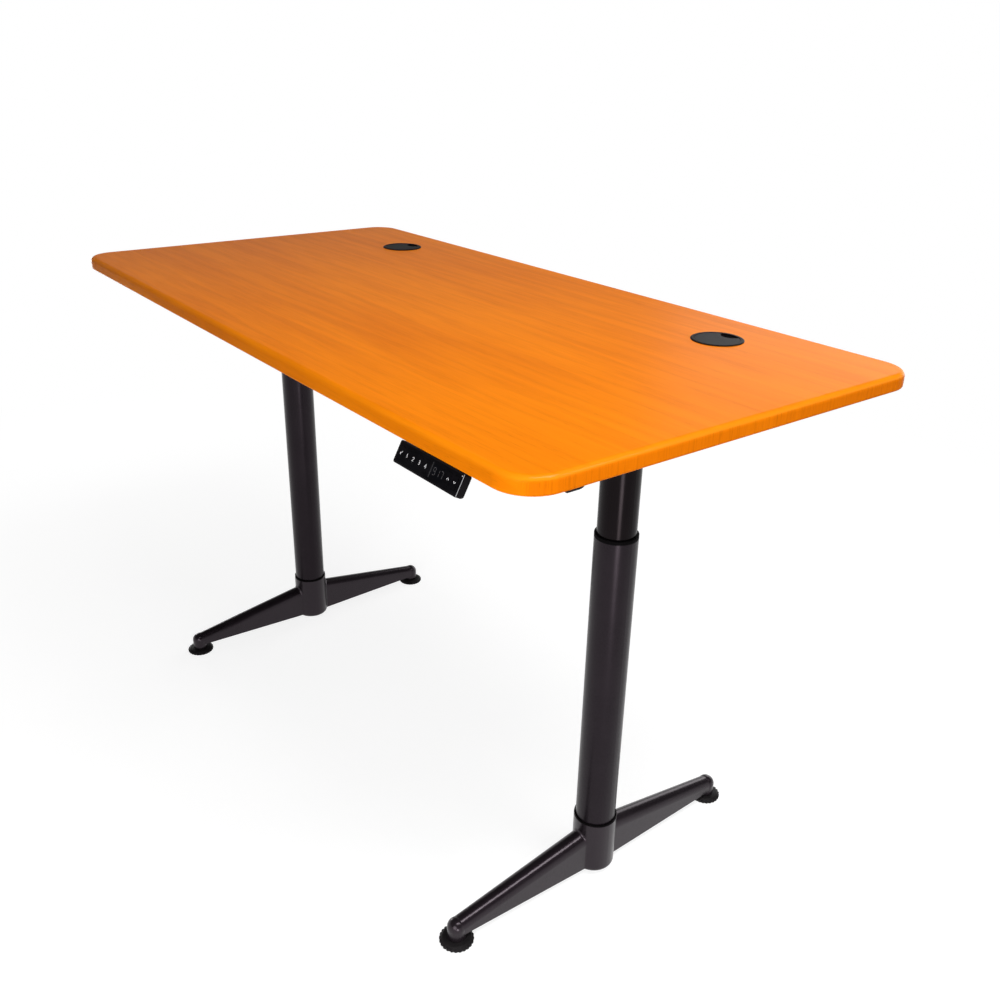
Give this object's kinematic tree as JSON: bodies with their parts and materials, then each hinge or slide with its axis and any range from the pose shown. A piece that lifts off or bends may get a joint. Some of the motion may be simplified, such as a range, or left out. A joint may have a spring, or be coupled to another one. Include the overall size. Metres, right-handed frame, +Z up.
{
  "type": "height adjustable standing desk",
  "caption": "Standing desk with a rounded laminate top on motorised telescopic columns and cast T feet, with cable grommets and a handset under the front edge.",
  "frame": {"origin": "on the floor, midway between the two column axes", "axes": "+X to the user's right along the top, +Y to the rear, +Z up; the user sits on the -Y side"},
  "size_m": [1.524, 0.774, 0.919],
  "materials": {
    "laminate": "satin cherry laminate",
    "black_powder_coat": "satin black powder coat",
    "black_plastic": "fine-textured black plastic",
    "glide_plastic": "black nylon",
    "guide_nylon": "natural nylon",
    "zinc_steel": "zinc-plated steel",
    "motor_steel": "drawn steel can",
    "gloss_black": "gloss black",
    "display_window": "smoked window",
    "circuit_board": "solder mask"
  },
  "bodies": {
    "base": {"foot_left": "black_powder_coat", "hub_ring_left": "black_plastic", "outer_tube_left": "black_powder_coat", "guide_collar_left": "black_plastic", "column_base_left": "zinc_steel", "nut_tube_left": "zinc_steel", "spindle_nut_left": "guide_nylon", "foot_right": "black_powder_coat", "hub_ring_right": "black_plastic", "outer_tube_right": "black_powder_coat", "guide_collar_right": "black_plastic", "column_base_right": "zinc_steel", "nut_tube_right": "zinc_steel", "spindle_nut_right": "guide_nylon", "foot_bolts": "zinc_steel"},
    "spindle_left": {"spindle_left": "zinc_steel"},
    "grommet_cap_left": {"grommet_cap_left": "black_plastic"},
    "glide_front_left": {"glide_pad_front_left": "glide_plastic", "glide_stud_front_left": "zinc_steel"},
    "glide_rear_left": {"glide_pad_rear_left": "glide_plastic", "glide_stud_rear_left": "zinc_steel"},
    "spindle_right": {"spindle_right": "zinc_steel"},
    "grommet_cap_right": {"grommet_cap_right": "black_plastic"},
    "glide_front_right": {"glide_pad_front_right": "glide_plastic", "glide_stud_front_right": "zinc_steel"},
    "glide_rear_right": {"glide_pad_rear_right": "glide_plastic", "glide_stud_rear_right": "zinc_steel"},
    "button_store": {"button_store": "gloss_black"},
    "button_one": {"button_one": "gloss_black"},
    "button_two": {"button_two": "gloss_black"},
    "button_three": {"button_three": "gloss_black"},
    "button_four": {"button_four": "gloss_black"},
    "button_up": {"button_up": "gloss_black"},
    "button_down": {"button_down": "gloss_black"},
    "top": {"cable_clip": "black_plastic", "column_head_bolts": "zinc_steel", "column_head_left": "black_powder_coat", "column_head_right": "black_powder_coat", "control_box_case": "black_plastic", "control_box_lid": "black_plastic", "crossbar_inner_front": "black_powder_coat", "crossbar_inner_rear": "black_powder_coat", "crossbar_outer_front": "black_powder_coat", "crossbar_outer_rear": "black_powder_coat", "grommet_liner_left": "black_plastic", "grommet_liner_right": "black_plastic", "handset_board": "circuit_board", "handset_bracket": "black_plastic", "handset_case": "black_plastic", "handset_display": "display_window", "handset_fascia": "gloss_black", "inner_tube_left": "black_powder_coat", "inner_tube_right": "black_powder_coat", "lift_motor_left": "motor_steel", "lift_motor_right": "motor_steel", "lower_guide_left": "guide_nylon", "lower_guide_right": "guide_nylon", "side_arm_left": "black_powder_coat", "side_arm_right": "black_powder_coat", "tabletop": "laminate"}
  },
  "joints": [
    {"name": "height_lift", "type": "slide", "parent": "base", "child": "top", "axis": [0, 0, 1], "range_m": [-0.2, 0.28]},
    {"name": "spindle_turn_left", "type": "hinge", "parent": "top", "child": "spindle_left", "pos_m": [-0.537, 0, 0.5], "axis": [0, 0, 1], "range_deg": [-6020, 8420]},
    {"name": "spindle_turn_right", "type": "hinge", "parent": "top", "child": "spindle_right", "pos_m": [0.537, 0, 0.5], "axis": [0, 0, 1], "range_deg": [-6020, 8420]},
    {"name": "grommet_cap_turn_left", "type": "hinge", "parent": "top", "child": "grommet_cap_left", "pos_m": [-0.4775, 0.257, 0.917], "axis": [0, 0, 1], "continuous": true},
    {"name": "grommet_cap_turn_right", "type": "hinge", "parent": "top", "child": "grommet_cap_right", "pos_m": [0.4775, 0.257, 0.917], "axis": [0, 0, 1], "continuous": true},
    {"name": "glide_turn_front_left", "type": "hinge", "parent": "base", "child": "glide_front_left", "pos_m": [-0.537, -0.3, 0.02], "axis": [0, 0, 1], "continuous": true},
    {"name": "glide_turn_rear_left", "type": "hinge", "parent": "base", "child": "glide_rear_left", "pos_m": [-0.537, 0.3, 0.02], "axis": [0, 0, 1], "continuous": true},
    {"name": "glide_turn_front_right", "type": "hinge", "parent": "base", "child": "glide_front_right", "pos_m": [0.537, -0.3, 0.02], "axis": [0, 0, 1], "continuous": true},
    {"name": "glide_turn_rear_right", "type": "hinge", "parent": "base", "child": "glide_rear_right", "pos_m": [0.537, 0.3, 0.02], "axis": [0, 0, 1], "continuous": true},
    {"name": "press_store", "type": "slide", "parent": "top", "child": "button_store", "axis": [0, 0.8829, -0.4695], "range_m": [0, 0.0008], "stiffness_N_per_m": 2000, "springref_m": -0.0005},
    {"name": "press_one", "type": "slide", "parent": "top", "child": "button_one", "axis": [0, 0.8829, -0.4695], "range_m": [0, 0.0008], "stiffness_N_per_m": 2000, "springref_m": -0.0005},
    {"name": "press_two", "type": "slide", "parent": "top", "child": "button_two", "axis": [0, 0.8829, -0.4695], "range_m": [0, 0.0008], "stiffness_N_per_m": 2000, "springref_m": -0.0005},
    {"name": "press_three", "type": "slide", "parent": "top", "child": "button_three", "axis": [0, 0.8829, -0.4695], "range_m": [0, 0.0008], "stiffness_N_per_m": 2000, "springref_m": -0.0005},
    {"name": "press_four", "type": "slide", "parent": "top", "child": "button_four", "axis": [0, 0.8829, -0.4695], "range_m": [0, 0.0008], "stiffness_N_per_m": 2000, "springref_m": -0.0005},
    {"name": "press_up", "type": "slide", "parent": "top", "child": "button_up", "axis": [0, 0.8829, -0.4695], "range_m": [0, 0.0008], "stiffness_N_per_m": 2000, "springref_m": -0.0005},
    {"name": "press_down", "type": "slide", "parent": "top", "child": "button_down", "axis": [0, 0.8829, -0.4695], "range_m": [0, 0.0008], "stiffness_N_per_m": 2000, "springref_m": -0.0005}
  ],
  "couplings": [
    {"joint": "spindle_turn_left", "follows": "height_lift", "rad_per_m": 523.6},
    {"joint": "spindle_turn_right", "follows": "height_lift", "rad_per_m": 523.6}
  ]
}
